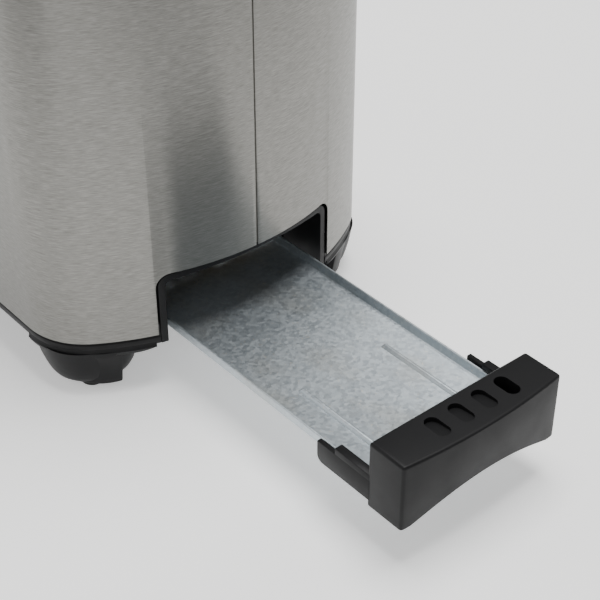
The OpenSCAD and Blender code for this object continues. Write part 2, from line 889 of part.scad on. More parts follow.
module chassis_screws() {
    color("#b8b8b8")
        for (p = chassis_screw_at) {
            rod_z(p[0], p[1], skirt_z, floor_z + bulkhead_t + eps, screw_r);
            rod_z(p[0], p[1], floor_z + bulkhead_t, floor_z + bulkhead_t + head_h, head_r);
        }
}

module crumb_tray() {
    x0 = handle_back - tray_l;
    x1 = handle_back;
    color("#9aa4aa")
    difference() {
        union() {
            block([x0, -wall_y, tray_floor_z - tray_t], [x1, wall_y, tray_floor_z]);
            for (s = [-1, 1]) {
                translate([x0, s > 0 ? wall_y - tray_t : -wall_y, tray_floor_z - tray_t])
                    cube([tray_l, tray_t, tray_depth + tray_t]);
                translate([x0, s > 0 ? tray_half_w - rim_w : -tray_half_w, rim_z - rim_h])
                    cube([tray_l, rim_w, rim_h]);
                translate([x1 - rib_l - 5, s * rib_y - rib_w / 2, tray_floor_z - eps])
                    cube([rib_l, rib_w, rib_h]);
            }
            for (x = [x0, x1 - tray_t])
                block([x, -wall_y, tray_floor_z - tray_t], [x + tray_t, wall_y, rim_z - rim_h / 2]);
        }
        for (s = [-1, 1])
            rod_x(x1 - 2 * tray_t, x1 + 1, s * tray_screw_y, tray_screw_z, screw_r);
    }
}

module oval_pocket(y, depth) {
    translate([handle_back + handle_d / 2 + 0.5, y, handle_z + handle_h - depth])
        linear_extrude(depth + 1) {
            square([dimple_l - dimple_w, dimple_w], center = true);
            for (s = [-1, 1])
                translate([s * (dimple_l - dimple_w) / 2, 0])
                    circle(dimple_w / 2);
        }
}

module prong() {
    x0 = handle_back - prong_l;
    tip_r = 4;
    rotate([90, 0, 0])
        linear_extrude(prong_t, center = true) {
            translate([x0 + tip_r, prong_z + tip_r])
                circle(tip_r);
            translate([x0, prong_z + tip_r])
                square([prong_l + eps, 11 - tip_r]);
            translate([x0 + tip_r, prong_z])
                square([prong_l - tip_r + eps, 11]);
            translate([x0 + 11, prong_z])
                square([prong_l - 11 + eps, 14]);
        }
}

module tray_handle() {
    front = handle_front + handle_bow;
    arch_half = handle_half_w - 4;
    arch_r = (pow(arch_half, 2) + pow(handle_arch, 2)) / (2 * handle_arch);
    color("#2d2d2e")
    difference() {
        union() {
            intersection() {
                block([handle_back, -handle_half_w, handle_z],
                    [front + 1, handle_half_w, handle_z + handle_h]);
                translate([front - handle_bow_r, 0, 0])
                    cylinder(h = body_h, r = handle_bow_r, $fn = 200);
            }
            for (s = [-1, 1]) {
                translate([0, s * (prong_y + prong_t / 2), 0])
                    prong();
                // flange that laps over the tray's rim
                translate([handle_back - prong_l + 11, s > 0 ? prong_y - 2 : -prong_y - prong_t, rim_z + 1])
                    cube([prong_l - 11 + eps, prong_t + 2, prong_z + 14 - rim_z - 1]);
            }
        }
        translate([handle_back - 1, 0, handle_z + handle_arch - arch_r])
            rotate([0, 90, 0])
                cylinder(h = handle_d + handle_bow + 2, r = arch_r, $fn = 128);
        for (k = [0:3])
            oval_pocket(2.4 + dimple_pitch * (k - 1.5), k == 3 ? deep_dimple : dimple_depth);
        for (s = [-1, 1])
            rod_x(handle_back - 1, handle_back + 9, s * tray_screw_y, tray_screw_z, screw_r);
    }
}

module tray_screws() {
    color("#c0c2c4")
        for (s = [-1, 1]) {
            rod_x(handle_back - tray_t - 1.4, handle_back - tray_t, s * tray_screw_y, tray_screw_z, 2.2);
            rod_x(handle_back - tray_t - eps, handle_back + 8, s * tray_screw_y, tray_screw_z, screw_r);
        }
}

base_moulding();
rubber_foot(1, -1);  // rubber_foot_tray_left
rubber_foot(1, 1);  // rubber_foot_tray_right
rubber_foot(-1, -1);  // rubber_foot_lever_left
rubber_foot(-1, 1);  // rubber_foot_lever_right
base_screws();
cord_gland();
wrap_panel(-1);  // wrap_panel_left
wrap_panel(1);  // wrap_panel_right
top_cover();
slot_plate();
control_fascia();
lever_bulkhead();
tray_bulkhead();
reflector(-1);  // reflector_left
reflector(1);  // reflector_right
centre_divider();
oven_top_frame();
for (i = [0:3]) {
    heater_board(i);
    heater_ribbon(i);
    bread_guide(i);
    push_button(i);
}
bus_bar();
carriage_posts();
return_spring();
carriage_plate();
bread_lifter(-1);  // bread_lifter_left
bread_lifter(1);  // bread_lifter_right
armature_keeper();
lever_knob();
control_board();
board_components();
magnet_core();
magnet_coils();
browning_potentiometer();
browning_shaft();
browning_knob();
button_switches();
indicator_lights();
contact_block();
contact_leaves();
terminal_block();
internal_wires();
chassis_screws();
crumb_tray();
tray_handle();
tray_screws();
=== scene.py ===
import json
import math

import bpy
from mathutils import Matrix, Vector


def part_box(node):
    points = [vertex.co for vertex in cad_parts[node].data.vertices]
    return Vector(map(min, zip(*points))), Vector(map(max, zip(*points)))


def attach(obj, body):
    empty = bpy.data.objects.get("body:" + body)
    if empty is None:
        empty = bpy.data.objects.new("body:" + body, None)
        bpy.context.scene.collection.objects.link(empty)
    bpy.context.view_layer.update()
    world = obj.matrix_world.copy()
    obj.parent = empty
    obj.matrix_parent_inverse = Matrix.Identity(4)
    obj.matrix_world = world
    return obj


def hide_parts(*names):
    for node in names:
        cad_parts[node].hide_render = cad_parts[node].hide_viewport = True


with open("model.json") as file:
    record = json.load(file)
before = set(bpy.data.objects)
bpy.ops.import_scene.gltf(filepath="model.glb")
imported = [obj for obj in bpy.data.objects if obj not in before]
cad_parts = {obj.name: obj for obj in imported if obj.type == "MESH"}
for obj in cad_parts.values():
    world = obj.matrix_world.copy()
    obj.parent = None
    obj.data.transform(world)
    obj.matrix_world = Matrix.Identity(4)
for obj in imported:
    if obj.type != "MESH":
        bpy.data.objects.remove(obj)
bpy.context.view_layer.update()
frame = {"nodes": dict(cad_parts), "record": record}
MM = 0.001


def low(node):
    """A CAD node's lowest corner, in millimetres."""
    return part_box(node)[0] / MM


def high(node):
    """A CAD node's highest corner, in millimetres."""
    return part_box(node)[1] / MM


# ---------------------------------------------------------------- sizes, in millimetres

HALF_L = high("wrap_panel_left").x
HALF_W = high("wrap_panel_right").y
STEEL_Z = low("wrap_panel_left").z
COVER_Z = high("wrap_panel_left").z
TOP_Z = high("top_cover").z
CORNER_R = 35.0
CORNER_BACK = 52.7  # from the crown of the bowed end to the corners' centres
CORNER_X = HALF_L - CORNER_BACK
CORNER_Y = HALF_W - CORNER_R
BOW_R = ((CORNER_BACK ** 2 + CORNER_Y ** 2 - CORNER_R ** 2)
         / (2 * (CORNER_BACK - CORNER_R)))
BOW_X = HALF_L - BOW_R
BOW_ANGLE = math.atan2(CORNER_Y, CORNER_X - BOW_X)
RIM_Z = high("crumb_tray").z
SKIRT_Z = STEEL_Z - 6.5
MOUTH_W = 51.7
MOUTH_Z = RIM_Z + 30.6
LIP_W = MOUTH_W - 1.5
TUNNEL_W = LIP_W - 3.5
TUNNEL_Z = MOUTH_Z - 5.0
FASCIA_W = high("control_fascia").y


def bow_x(y, inset=0.0):
    """Where the bowed end stands at a distance y off the middle."""
    return BOW_X + math.sqrt((BOW_R - inset) ** 2 - y * y)


MOUTH_X = bow_x(MOUTH_W) - 0.4
BUTTONS = ("cancel_button", "reheat_button", "defrost_button", "bagel_button")
PRONG_L = 31.3
PRONG_Y = 44.75
SLOT_Y = 36.0
SLOT_HALF_W = 17.0


def travel_below_rest(joint_name):
    """How far a sliding joint goes below its rest place."""
    joints = frame["record"]["behaviour"]["joints"]
    return next(-joint["range_m"][0] / MM for joint in joints if joint["name"] == joint_name)


LEVER_TRAVEL = travel_below_rest("carriage_slide")
# where the back of the grip stands with the tray pushed in, with 2 mm to spare
GRIP_IN = low("tray_handle").x + PRONG_L - travel_below_rest("tray_slide") - 2

# ---------------------------------------------------------------- camera

# An 86 mm lens, 36 degrees above the tray and 40 degrees off its line of travel
HANDLE_FRONT = Vector((high("tray_handle").x, 0, RIM_Z))
camera_data = bpy.data.cameras.new("camera")
camera_data.lens = 86.27
camera_data.sensor_width = 36
camera = bpy.data.objects.new("camera", camera_data)
bpy.context.scene.collection.objects.link(camera)
camera.location = (HANDLE_FRONT + Vector((287.7, -344.0, 404.4))) * MM
azimuth, elevation = math.radians(-40.12), math.radians(36.05)
towards_camera = Vector((math.cos(elevation) * math.cos(azimuth),
                         math.cos(elevation) * math.sin(azimuth), math.sin(elevation)))
camera.rotation_mode = "QUATERNION"
camera.rotation_quaternion = (-towards_camera).to_track_quat("-Z", "Y")
bpy.context.scene.camera = camera

# ---------------------------------------------------------------- materials


def colour(hex_value):
    """An sRGB hex value as linear RGBA."""
    def linear(c):
        return c / 12.92 if c <= 0.04045 else ((c + 0.055) / 1.055) ** 2.4
    return [linear(int(hex_value[i:i + 2], 16) / 255) for i in (1, 3, 5)] + [1.0]


def add(material, kind, inputs=None, **settings):
    """Adds one node, sets what it is told and links what is given as a socket."""
    made = material.node_tree.nodes.new(kind)
    for name, value in settings.items():
        setattr(made, name, value)
    for name, value in (inputs or {}).items():
        if isinstance(value, bpy.types.NodeSocket):
            material.node_tree.links.new(value, made.inputs[name])
        else:
            made.inputs[name].default_value = value
    return made


def finish_named(name, **shader):
    """A new material and its Principled shader, with the shader's constants set."""
    material = bpy.data.materials.new(name)
    material.use_nodes = True
    principled = material.node_tree.nodes["Principled BSDF"]
    for socket, value in shader.items():
        principled.inputs[socket.replace("_", " ")].default_value = value
    return material, principled


def feed(material, principled, socket, value):
    material.node_tree.links.new(value, principled.inputs[socket])


def pattern(material, cell_mm, detail=2.0, rough=0.5):
    """Noise whose blotches are cell_mm long along X, Y and Z."""
    place = add(material, "ShaderNodeTexCoord").outputs["Object"]
    scale = [1 / (c * MM) for c in cell_mm]
    mapped = add(material, "ShaderNodeMapping", {"Vector": place, "Scale": scale})
    return add(material, "ShaderNodeTexNoise", {"Vector": mapped.outputs["Vector"], "Scale": 1.0,
                                                "Detail": detail, "Roughness": rough})


def ramp(material, value, stops):
    """A colour ramp from (position, hex or grey) stops."""
    made = add(material, "ShaderNodeValToRGB", {"Fac": value})
    marks = made.color_ramp.elements
    while len(marks) < len(stops):
        marks.new(0.5)
    for mark, (position, shade) in zip(marks, stops):
        mark.position = position
        mark.color = colour(shade) if isinstance(shade, str) else (shade, shade, shade, 1)
    return made.outputs["Color"]


def bump(material, principled, height, depth_mm, strength=1.0):
    made = add(material, "ShaderNodeBump", {"Height": height, "Distance": depth_mm * MM,
                                            "Strength": strength})
    feed(material, principled, "Normal", made.outputs["Normal"])


def brushed_stainless(name, cells, pull=0.85):
    # Stainless sheet rubbed with an abrasive belt: short dull scratches all one way, which
    # pull every reflection out across them. They are drawn wider than real ones so they show.
    material, shader = finish_named(name, Metallic=1.0, Roughness=0.34, Anisotropic=pull,
                                    Anisotropic_Rotation=0.25)
    grain = pattern(material, cells, 3.0, 0.65).outputs["Fac"]
    tone = ramp(material, grain, [(0.3, "#74736f"), (0.5, "#84837f"), (0.7, "#94938f")])
    feed(material, shader, "Base Color", tone)
    dullness = ramp(material, grain, [(0.2, 0.40), (0.8, 0.28)])
    feed(material, shader, "Roughness", dullness)
    bump(material, shader, grain, 0.02, 0.5)
    return material


def moulded_plastic(name, dark, light, roughness, grit_mm=0.5):
    # Injection moulded ABS with a fine spark-eroded texture: near black, satin, and a
    # little paler where it is handled. The texture is drawn 0.5 mm coarse so it shows.
    material, shader = finish_named(name, Specular_IOR_Level=0.17, Roughness=roughness)
    wear = pattern(material, (18, 18, 18), 4.0).outputs["Fac"]
    feed(material, shader, "Base Color", ramp(material, wear, [(0.3, dark), (0.7, light)]))
    grit = pattern(material, (grit_mm,) * 3, 1.0).outputs["Fac"]
    sheen = ramp(material, wear, [(0.3, roughness + 0.05), (0.7, roughness - 0.04)])
    feed(material, shader, "Roughness", sheen)
    bump(material, shader, grit, 0.03, 0.35)
    return material


def galvanised_sheet():
    # Hot-dipped zinc on thin steel: a bluish, dull metal with small crystals, and the
    # faint tan freckles that baking crumbs leave on it.
    material, shader = finish_named("galvanised_steel", Metallic=0.85, Roughness=0.42)
    place = add(material, "ShaderNodeTexCoord").outputs["Object"]
    crystals = add(material, "ShaderNodeTexVoronoi", {"Vector": place, "Scale": 1 / (1.6 * MM)})
    zinc = ramp(material, crystals.outputs["Color"], [(0.1, "#b1bac0"), (0.9, "#c3cbcf")])
    cloud = pattern(material, (30, 22, 22), 4.0).outputs["Fac"]
    stained = add(material, "ShaderNodeMixRGB",
                  {"Fac": ramp(material, cloud, [(0.5, 0.0), (0.8, 0.35)]),
                   "Color1": zinc, "Color2": colour("#a79f8c")})
    freckle = pattern(material, (1.1, 1.1, 1.1), 2.0).outputs["Fac"]
    spotted = add(material, "ShaderNodeMixRGB",
                  {"Fac": ramp(material, freckle, [(0.66, 0.0), (0.72, 0.55)]),
                   "Color1": stained.outputs["Color"], "Color2": colour("#d9d2c2")})
    feed(material, shader, "Base Color", spotted.outputs["Color"])
    dullness = ramp(material, crystals.outputs["Color"], [(0, 0.36), (1, 0.5)])
    feed(material, shader, "Roughness", dullness)
    bump(material, shader, freckle, 0.05, 0.25)
    return material


def worn_metal(name, dark, light, roughness, cell_mm=6.0):
    # Plain plated or aluminised sheet and wire: clean metal with soft rolling marks.
    material, shader = finish_named(name, Metallic=1.0, Roughness=roughness)
    marks = pattern(material, (cell_mm,) * 3, 4.0).outputs["Fac"]
    feed(material, shader, "Base Color", ramp(material, marks, [(0.3, dark), (0.7, light)]))
    feed(material, shader, "Roughness",
         ramp(material, marks, [(0.3, roughness + 0.08), (0.7, roughness - 0.05)]))
    return material


def dull_stuff(name, dark, light, roughness, cell_mm=3.0):
    # Things with a plain matt surface: mica, nylon, sleeving, painted board and rubber.
    material, shader = finish_named(name, Roughness=roughness)
    marks = pattern(material, (cell_mm,) * 3, 3.0).outputs["Fac"]
    feed(material, shader, "Base Color", ramp(material, marks, [(0.3, dark), (0.7, light)]))
    bump(material, shader, marks, 0.03, 0.3)
    return material


STEEL = brushed_stainless("brushed_steel", (5.0, 5.0, 0.26))
# the slot plate lies flat, so its scratches run along X and nothing is pulled round a centre
TOP_STEEL = brushed_stainless("brushed_slot_plate", (14.0, 0.4, 6.0), 0.0)
PLASTIC = moulded_plastic("black_plastic", "#121213", "#19191a", 0.42)
HANDLE_PLASTIC = moulded_plastic("handle_plastic", "#131314", "#1a1a1b", 0.43)
BUTTON_PLASTIC = moulded_plastic("button_plastic", "#3a3b3d", "#454648", 0.38)
GALVANISED = galvanised_sheet()
RUBBER = dull_stuff("rubber", "#0f0f0f", "#191919", 0.8)
FINISHES = {
    "black_plastic": PLASTIC,
    "rubber": RUBBER,
    "brushed_steel": STEEL,
    "galvanised_steel": GALVANISED,
    "zinc_plated_steel": worn_metal("zinc_plate", "#b4b6b8", "#cfd1d3", 0.3),
    "sheet_steel": worn_metal("aluminised_sheet", "#a2a5a8", "#babdc0", 0.38, 12.0),
    "chromed_wire": worn_metal("plated_wire", "#a8aaac", "#c6c8ca", 0.22),
    "mica": dull_stuff("pressed_mica", "#9a8350", "#c3ad79", 0.55),
    "heating_wire": worn_metal("oxidised_ribbon", "#4b3a2e", "#6d594a", 0.5),
    "brass": worn_metal("stamped_brass", "#a9853a", "#c9a759", 0.3),
    "spring_steel": worn_metal("spring_wire", "#7c8286", "#9aa0a4", 0.3),
    "circuit_board": dull_stuff("solder_mask", "#174a22", "#1f5c2c", 0.35),
    "component_plastic": dull_stuff("component_cases", "#1d2a38", "#27384a", 0.4),
    "core_iron": worn_metal("soft_iron", "#6b6e70", "#84878a", 0.5),
    "copper_winding": worn_metal("enamelled_copper", "#8f4f1d", "#b0692c", 0.32, 1.0),
    "button_plastic": BUTTON_PLASTIC,
    "lamp_lens": finish_named("lamp_lens", Base_Color=colour("#dfe9ec"), Roughness=0.08,
                              Transmission_Weight=0.7, IOR=1.49)[0],
    "terminal_plastic": dull_stuff("terminal_nylon", "#cfc9ba", "#e0dbce", 0.5),
    "wire_sleeve": dull_stuff("silicone_sleeve", "#6f2a20", "#8a3b30", 0.6),
}
PRINT = finish_named("white_print", Base_Color=colour("#c9c9c6"), Roughness=0.5)[0]

node_slot = {part["node"]: part["material_slot"] for part in frame["record"]["subparts"]}
for node_name, node_object in frame["nodes"].items():
    node_object.data.materials.clear()
    node_object.data.materials.append(FINISHES[node_slot[node_name]])

# ---------------------------------------------------------------- modelling


def deselect():
    for other in list(bpy.context.selected_objects):
        other.select_set(False)


def primitive(kind, name, **sizes):
    """Adds a primitive with its place in its mesh, and leaves it the only selected object."""
    deselect()
    getattr(bpy.ops.mesh, "primitive_" + kind + "_add")(**sizes)
    piece = bpy.context.object
    piece.name = name
    piece.data.name = name
    bpy.ops.object.transform_apply(location=True, rotation=True, scale=True)
    return piece


def block(name, a, b):
    """A box between two corners given in millimetres."""
    a, b = Vector(a) * MM, Vector(b) * MM
    piece = primitive("cube", name, size=1, location=(a + b) / 2)
    bpy.ops.object.mode_set(mode="EDIT")
    bpy.ops.mesh.select_all(action="SELECT")
    bpy.ops.transform.resize(value=b - a, center_override=(a + b) / 2)
    bpy.ops.object.mode_set(mode="OBJECT")
    return piece


def drum(name, radius, a, b, sides=48):
    """A cylinder between two points on its axis, given in millimetres."""
    a, b = Vector(a) * MM, Vector(b) * MM
    turn = (b - a).to_track_quat("Z", "Y").to_euler()
    return primitive("cylinder", name, vertices=sides, radius=radius * MM, depth=(b - a).length,
                     location=(a + b) / 2, rotation=turn)


def edit(piece, mode="EDGE"):
    deselect()
    piece.select_set(True)
    bpy.context.view_layer.objects.active = piece
    bpy.ops.object.mode_set(mode="EDIT")
    bpy.ops.mesh.select_mode(type=mode)
    bpy.ops.mesh.select_all(action="DESELECT")
    bpy.ops.object.mode_set(mode="OBJECT")


def pick(piece, kind, test):
    """Selects the edges, faces or vertices whose ends pass the test, and enters edit mode."""
    edit(piece, {"edges": "EDGE", "polygons": "FACE", "vertices": "VERT"}[kind])
    mesh = piece.data
    for part in getattr(mesh, kind):
        if kind == "vertices":
            ends = [part.co]
        else:
            ends = [mesh.vertices[i].co for i in part.vertices]
        part.select = test([end / MM for end in ends])
    bpy.ops.object.mode_set(mode="EDIT")


def leave():
    bpy.ops.object.mode_set(mode="OBJECT")


def apply(piece, kind, **settings):
    """Adds a modifier, sets it and applies it."""
    deselect()
    piece.select_set(True)
    bpy.context.view_layer.objects.active = piece
    modifier = piece.modifiers.new(kind.lower(), kind)
    for name, value in settings.items():
        setattr(modifier, name, value)
    bpy.ops.object.modifier_apply(modifier=modifier.name)


def cut(piece, cutter, operation="DIFFERENCE"):
    apply(piece, "BOOLEAN", object=cutter, operation=operation, solver="EXACT")
    bpy.data.objects.remove(cutter)


def soften(piece, width_mm, segments=3, angle=35.0):
    """Rounds every edge sharper than the angle, then shades the piece smooth."""
    apply(piece, "BEVEL", width=width_mm * MM, segments=segments, limit_method="ANGLE",
          angle_limit=math.radians(angle), use_clamp_overlap=True, harden_normals=False)
    smooth(piece)


def smooth(piece, angle=32.0):
    deselect()
    piece.select_set(True)
    bpy.context.view_layer.objects.active = piece
    bpy.ops.object.shade_smooth_by_angle(angle=math.radians(angle))


def join(first, *others):
    deselect()
    for other in others:
        other.select_set(True)
    first.select_set(True)
    bpy.context.view_layer.objects.active = first
    bpy.ops.object.join()
    return first


def wear(piece, material, body, slot, *nodes):
    """Gives a finished piece its material and body, and hides the CAD nodes it stands for; the slot
    argument is not used.
    """
    piece.data.materials.clear()
    piece.data.materials.append(material)
    for face in piece.data.polygons:
        face.material_index = 0
    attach(piece, body)
    if nodes:
        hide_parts(*nodes)
    return piece


def outwards(piece):
    """Merges doubles and turns every face outwards."""
    edit(piece)
    bpy.ops.object.mode_set(mode="EDIT")
    bpy.ops.mesh.select_all(action="SELECT")
    bpy.ops.mesh.remove_doubles(threshold=0.01 * MM)
    bpy.ops.mesh.normals_make_consistent(inside=False)
    leave()


def start_at(name, point):
    """A mesh of one selected vertex, in edit mode."""
    piece = primitive("plane", name, size=MM, location=(0, 0, 0))
    edit(piece, "VERT")
    bpy.ops.object.mode_set(mode="EDIT")
    bpy.ops.mesh.select_all(action="SELECT")
    bpy.ops.mesh.merge(type="CENTER")
    bpy.ops.mesh.select_all(action="SELECT")
    bpy.ops.transform.translate(value=Vector(point) * MM)
    return piece


def draw(points):
    """Extrudes the selected vertex through the rest of a line's points, then selects the line."""
    for a, b in zip(points, points[1:]):
        bpy.ops.mesh.extrude_region_move(
            TRANSFORM_OT_translate={"value": (Vector(b) - Vector(a)) * MM})
    bpy.ops.mesh.select_all(action="SELECT")


def turn(angle, steps, centre):
    """Spins the selected line anticlockwise, seen from above."""
    bpy.ops.mesh.spin(steps=steps, angle=-angle, center=Vector(centre) * MM, axis=(0, 0, 1))


def girth(name, section, start_y=0.0, end_y=0.0, fine=1.0, stop=None):
    """Sweeps a section of (inset, z) points round the +Y half of the body's plan.

    It starts on the tray end's bow at start_y and ends on the lever end's bow at end_y,
    or on the straight side at x = stop. A closed section's cut ends are capped.
    """
    inset = section[0][0]
    first = math.asin(start_y / (BOW_R - inset))
    last = math.asin(end_y / (BOW_R - inset))
    reach = [BOW_R - s for s, _ in section]
    points = [(BOW_X + r * math.cos(first), r * math.sin(first), z)
              for r, (_, z) in zip(reach, section)]
    piece = start_at(name, points[0])
    draw(points)
    corner_angle = math.pi / 2 - BOW_ANGLE
    turn(BOW_ANGLE - first, int(28 * fine), (BOW_X, 0, 0))
    turn(corner_angle, int(20 * fine), (CORNER_X, CORNER_Y, 0))
    run = 2 * CORNER_X if stop is None else CORNER_X - stop
    bpy.ops.mesh.extrude_region_move(TRANSFORM_OT_translate={"value": (-run * MM, 0, 0)})
    if stop is None:
        turn(corner_angle, int(20 * fine), (-CORNER_X, CORNER_Y, 0))
        turn(BOW_ANGLE - last, int(28 * fine), (-BOW_X, 0, 0))
    bpy.ops.mesh.select_all(action="SELECT")
    bpy.ops.mesh.remove_doubles(threshold=0.01 * MM)
    bpy.ops.mesh.normals_make_consistent(inside=False)
    leave()
    if section[0] == section[-1]:
        if start_y:
            pick(piece, "edges", lambda ends: all(
                e.x > 0 and abs(math.atan2(e.y, e.x - BOW_X) - first) < 0.0005 for e in ends))
            bpy.ops.mesh.edge_face_add()
            leave()
        if stop is not None:
            pick(piece, "edges", lambda ends: all(abs(e.x - stop) < 0.01 for e in ends))
            bpy.ops.mesh.edge_face_add()
            leave()
    return piece


def mirrored(piece, axis):
    """Adds the piece's own mirror image across X or Y to it."""
    apply(piece, "MIRROR", use_axis=[axis == "X", axis == "Y", False],
          use_clip=False, merge_threshold=0.02 * MM)
    return piece


def copy_of(piece, name, flip=None):
    """A copy with its own mesh, mirrored across the axes named in flip."""
    made = piece.copy()
    made.data = piece.data.copy()
    made.name = name
    bpy.context.scene.collection.objects.link(made)
    if flip:
        scale = [-1 if axis in flip else 1 for axis in "XYZ"]
        made.data.transform(Matrix.Diagonal((*scale, 1)))
        outwards(made)
    return made


def rounded_block(name, x0, x1, half, z0, z1, radius):
    """A block along X whose two upper long edges are rounded."""
    piece = block(name, (x0, -half, z0), (x1, half, z1))
    pick(piece, "edges", lambda ends: all(e.z > z1 - 0.01 for e in ends)
         and abs(ends[0].y - ends[1].y) < 0.01)
    bpy.ops.mesh.bevel(offset=radius * MM, segments=10, affect="EDGES")
    leave()
    return piece


# ---------------------------------------------------------------- steel wraps


def steel_wraps():
    """The two brushed panels, cut for the tray mouth, and the strip behind their seam."""
    section = [(0, STEEL_Z), (0, COVER_Z)]
    panel = girth("steel_wrap_right", section, 0.5, FASCIA_W + 0.1, fine=1.5)
    mouth = rounded_block("mouth_cutter", 0, HALF_L + 20, MOUTH_W, 0, MOUTH_Z, 7)
    apply(panel, "SOLIDIFY", thickness=0.8 * MM, offset=-1.0, use_even_offset=True)
    cut(panel, mouth)
    soften(panel, 0.28, 3, 50)
    other = copy_of(panel, "steel_wrap_left", "Y")
    smooth(other)
    wear(panel, STEEL, "chassis", "brushed_steel", "wrap_panel_right")
    wear(other, STEEL, "chassis", "brushed_steel", "wrap_panel_left")
    # the joining strip that shows down in the seam
    strip = block("seam_strip", (HALF_L - 2.4, -4, MOUTH_Z + 1), (HALF_L - 0.55, 4, COVER_Z - 1))
    soften(strip, 0.3)
    wear(strip, STEEL, "chassis", "brushed_steel")


# ---------------------------------------------------------------- base, skirt, surround and feet


def foot():
    """A round bowl inside the corner, with a steeper shell round its outer side."""
    centre = (CORNER_X + 8.4, CORNER_Y + 6.7)
    profile = [(0, 2), (13.2, 2), (15.0, 2.35), (16.6, 3.2), (18.2, 4.9), (19.4, 7.2), (20.4, 10.5),
               (21.2, 14), (22.0, 18.5), (23, SKIRT_Z + 0.4), (0, SKIRT_Z + 0.4)]
    points = [(centre[0] + r, centre[1], z) for r, z in profile]
    bowl = start_at("foot", points[0])
    draw(points)
    turn(2 * math.pi, 56, (*centre, 0))
    leave()
    outwards(bowl)
    # it reaches further along the side than towards the mouth, most of all near its top
    for vertex in bowl.data.vertices:
        x, y, z = vertex.co / MM
        rise = min(1.0, max(0.0, (z - 2) / 12))
        if x < centre[0]:
            vertex.co.x = (centre[0] + (x - centre[0]) * (1.15 + 0.3 * rise)) * MM
        if y > centre[1]:
            vertex.co.y = (centre[1] + (y - centre[1]) * 1.16) * MM
    # the closed tray's guide prong passes inside the bowl's rim
    cut(bowl, block("prong_way", (CORNER_X - 30, CORNER_Y - 25, SKIRT_Z - 2.4),
                    (CORNER_X + 40, TUNNEL_W + 0.2, SKIRT_Z + 9)))
    smooth(bowl, 50)
    centre = (CORNER_X + 6.2, CORNER_Y)
    profile = [(14, 2), (23.4, 2), (24.4, 2.4), (25.0, 3.6), (25.8, 8), (27.0, 14), (28.4, 20),
               (30, SKIRT_Z + 0.4), (14, SKIRT_Z + 0.4), (14, 2)]
    first = math.radians(13)
    points = [(centre[0] + r * math.cos(first), centre[1] + r * math.sin(first), z)
              for r, z in profile]
    shell = start_at("foot_shell", points[0])
    draw(points)
    turn(math.radians(66), 30, (*centre, 0))
    bpy.ops.mesh.select_all(action="SELECT")
    bpy.ops.mesh.remove_doubles(threshold=0.01 * MM)
    bpy.ops.mesh.select_all(action="DESELECT")
    bpy.ops.mesh.select_non_manifold()
    bpy.ops.mesh.edge_face_add()
    leave()
    outwards(shell)
    soften(shell, 0.5, 2, 60)
    return join(bowl, shell)


def corner_tier():
    """The deeper band under the skirt at a corner; it runs out in a curve beside the mouth."""
    low_z = SKIRT_Z - 3.2
    section = [(6, SKIRT_Z + 3), (0.75, SKIRT_Z + 3), (0.5, SKIRT_Z + 0.5), (0.25, SKIRT_Z + 0.2),
               (0.25, SKIRT_Z - 0.25), (0.6, SKIRT_Z - 0.6), (1.1, SKIRT_Z - 2.2),
               (1.9, low_z + 0.35), (3.2, low_z), (6, low_z), (6, SKIRT_Z + 3)]
    tier = girth("corner_tier", section, LIP_W + 0.5, stop=CORNER_X - 3)
    run = 12.0
    for vertex in tier.data.vertices:
        y, z = vertex.co.y / MM, vertex.co.z / MM
        if z < SKIRT_Z - 0.2 and vertex.co.x > 0:
            near = max(0.0, (LIP_W + 0.5 + run - y) / run)
            vertex.co.z = (z + (SKIRT_Z - 0.2 - z) * near ** 2.2) * MM
    outwards(tier)
    smooth(tier, 40)
    return tier


def surround():
    """The moulded frame of the tray mouth: a straighter bow than the steel's, with eased lips."""
    back = MOUTH_X - 28
    out = 6.0
    front = MOUTH_X + out
    radius = (LIP_W ** 2 + out ** 2) / (2 * out)
    piece = rounded_block("surround", back, front + 4, LIP_W, SKIRT_Z + 0.9, MOUTH_Z - 1.5, 5.5)
    cut(piece, rounded_block("tunnel", 0, front + 9, TUNNEL_W, 0, TUNNEL_Z, 3))
    bow = drum("bow", radius, (front - radius, 0, 0), (front - radius, 0, 90), 480)
    cut(piece, bow, "INTERSECT")
    soften(piece, 0.7, 3, 40)
    return piece


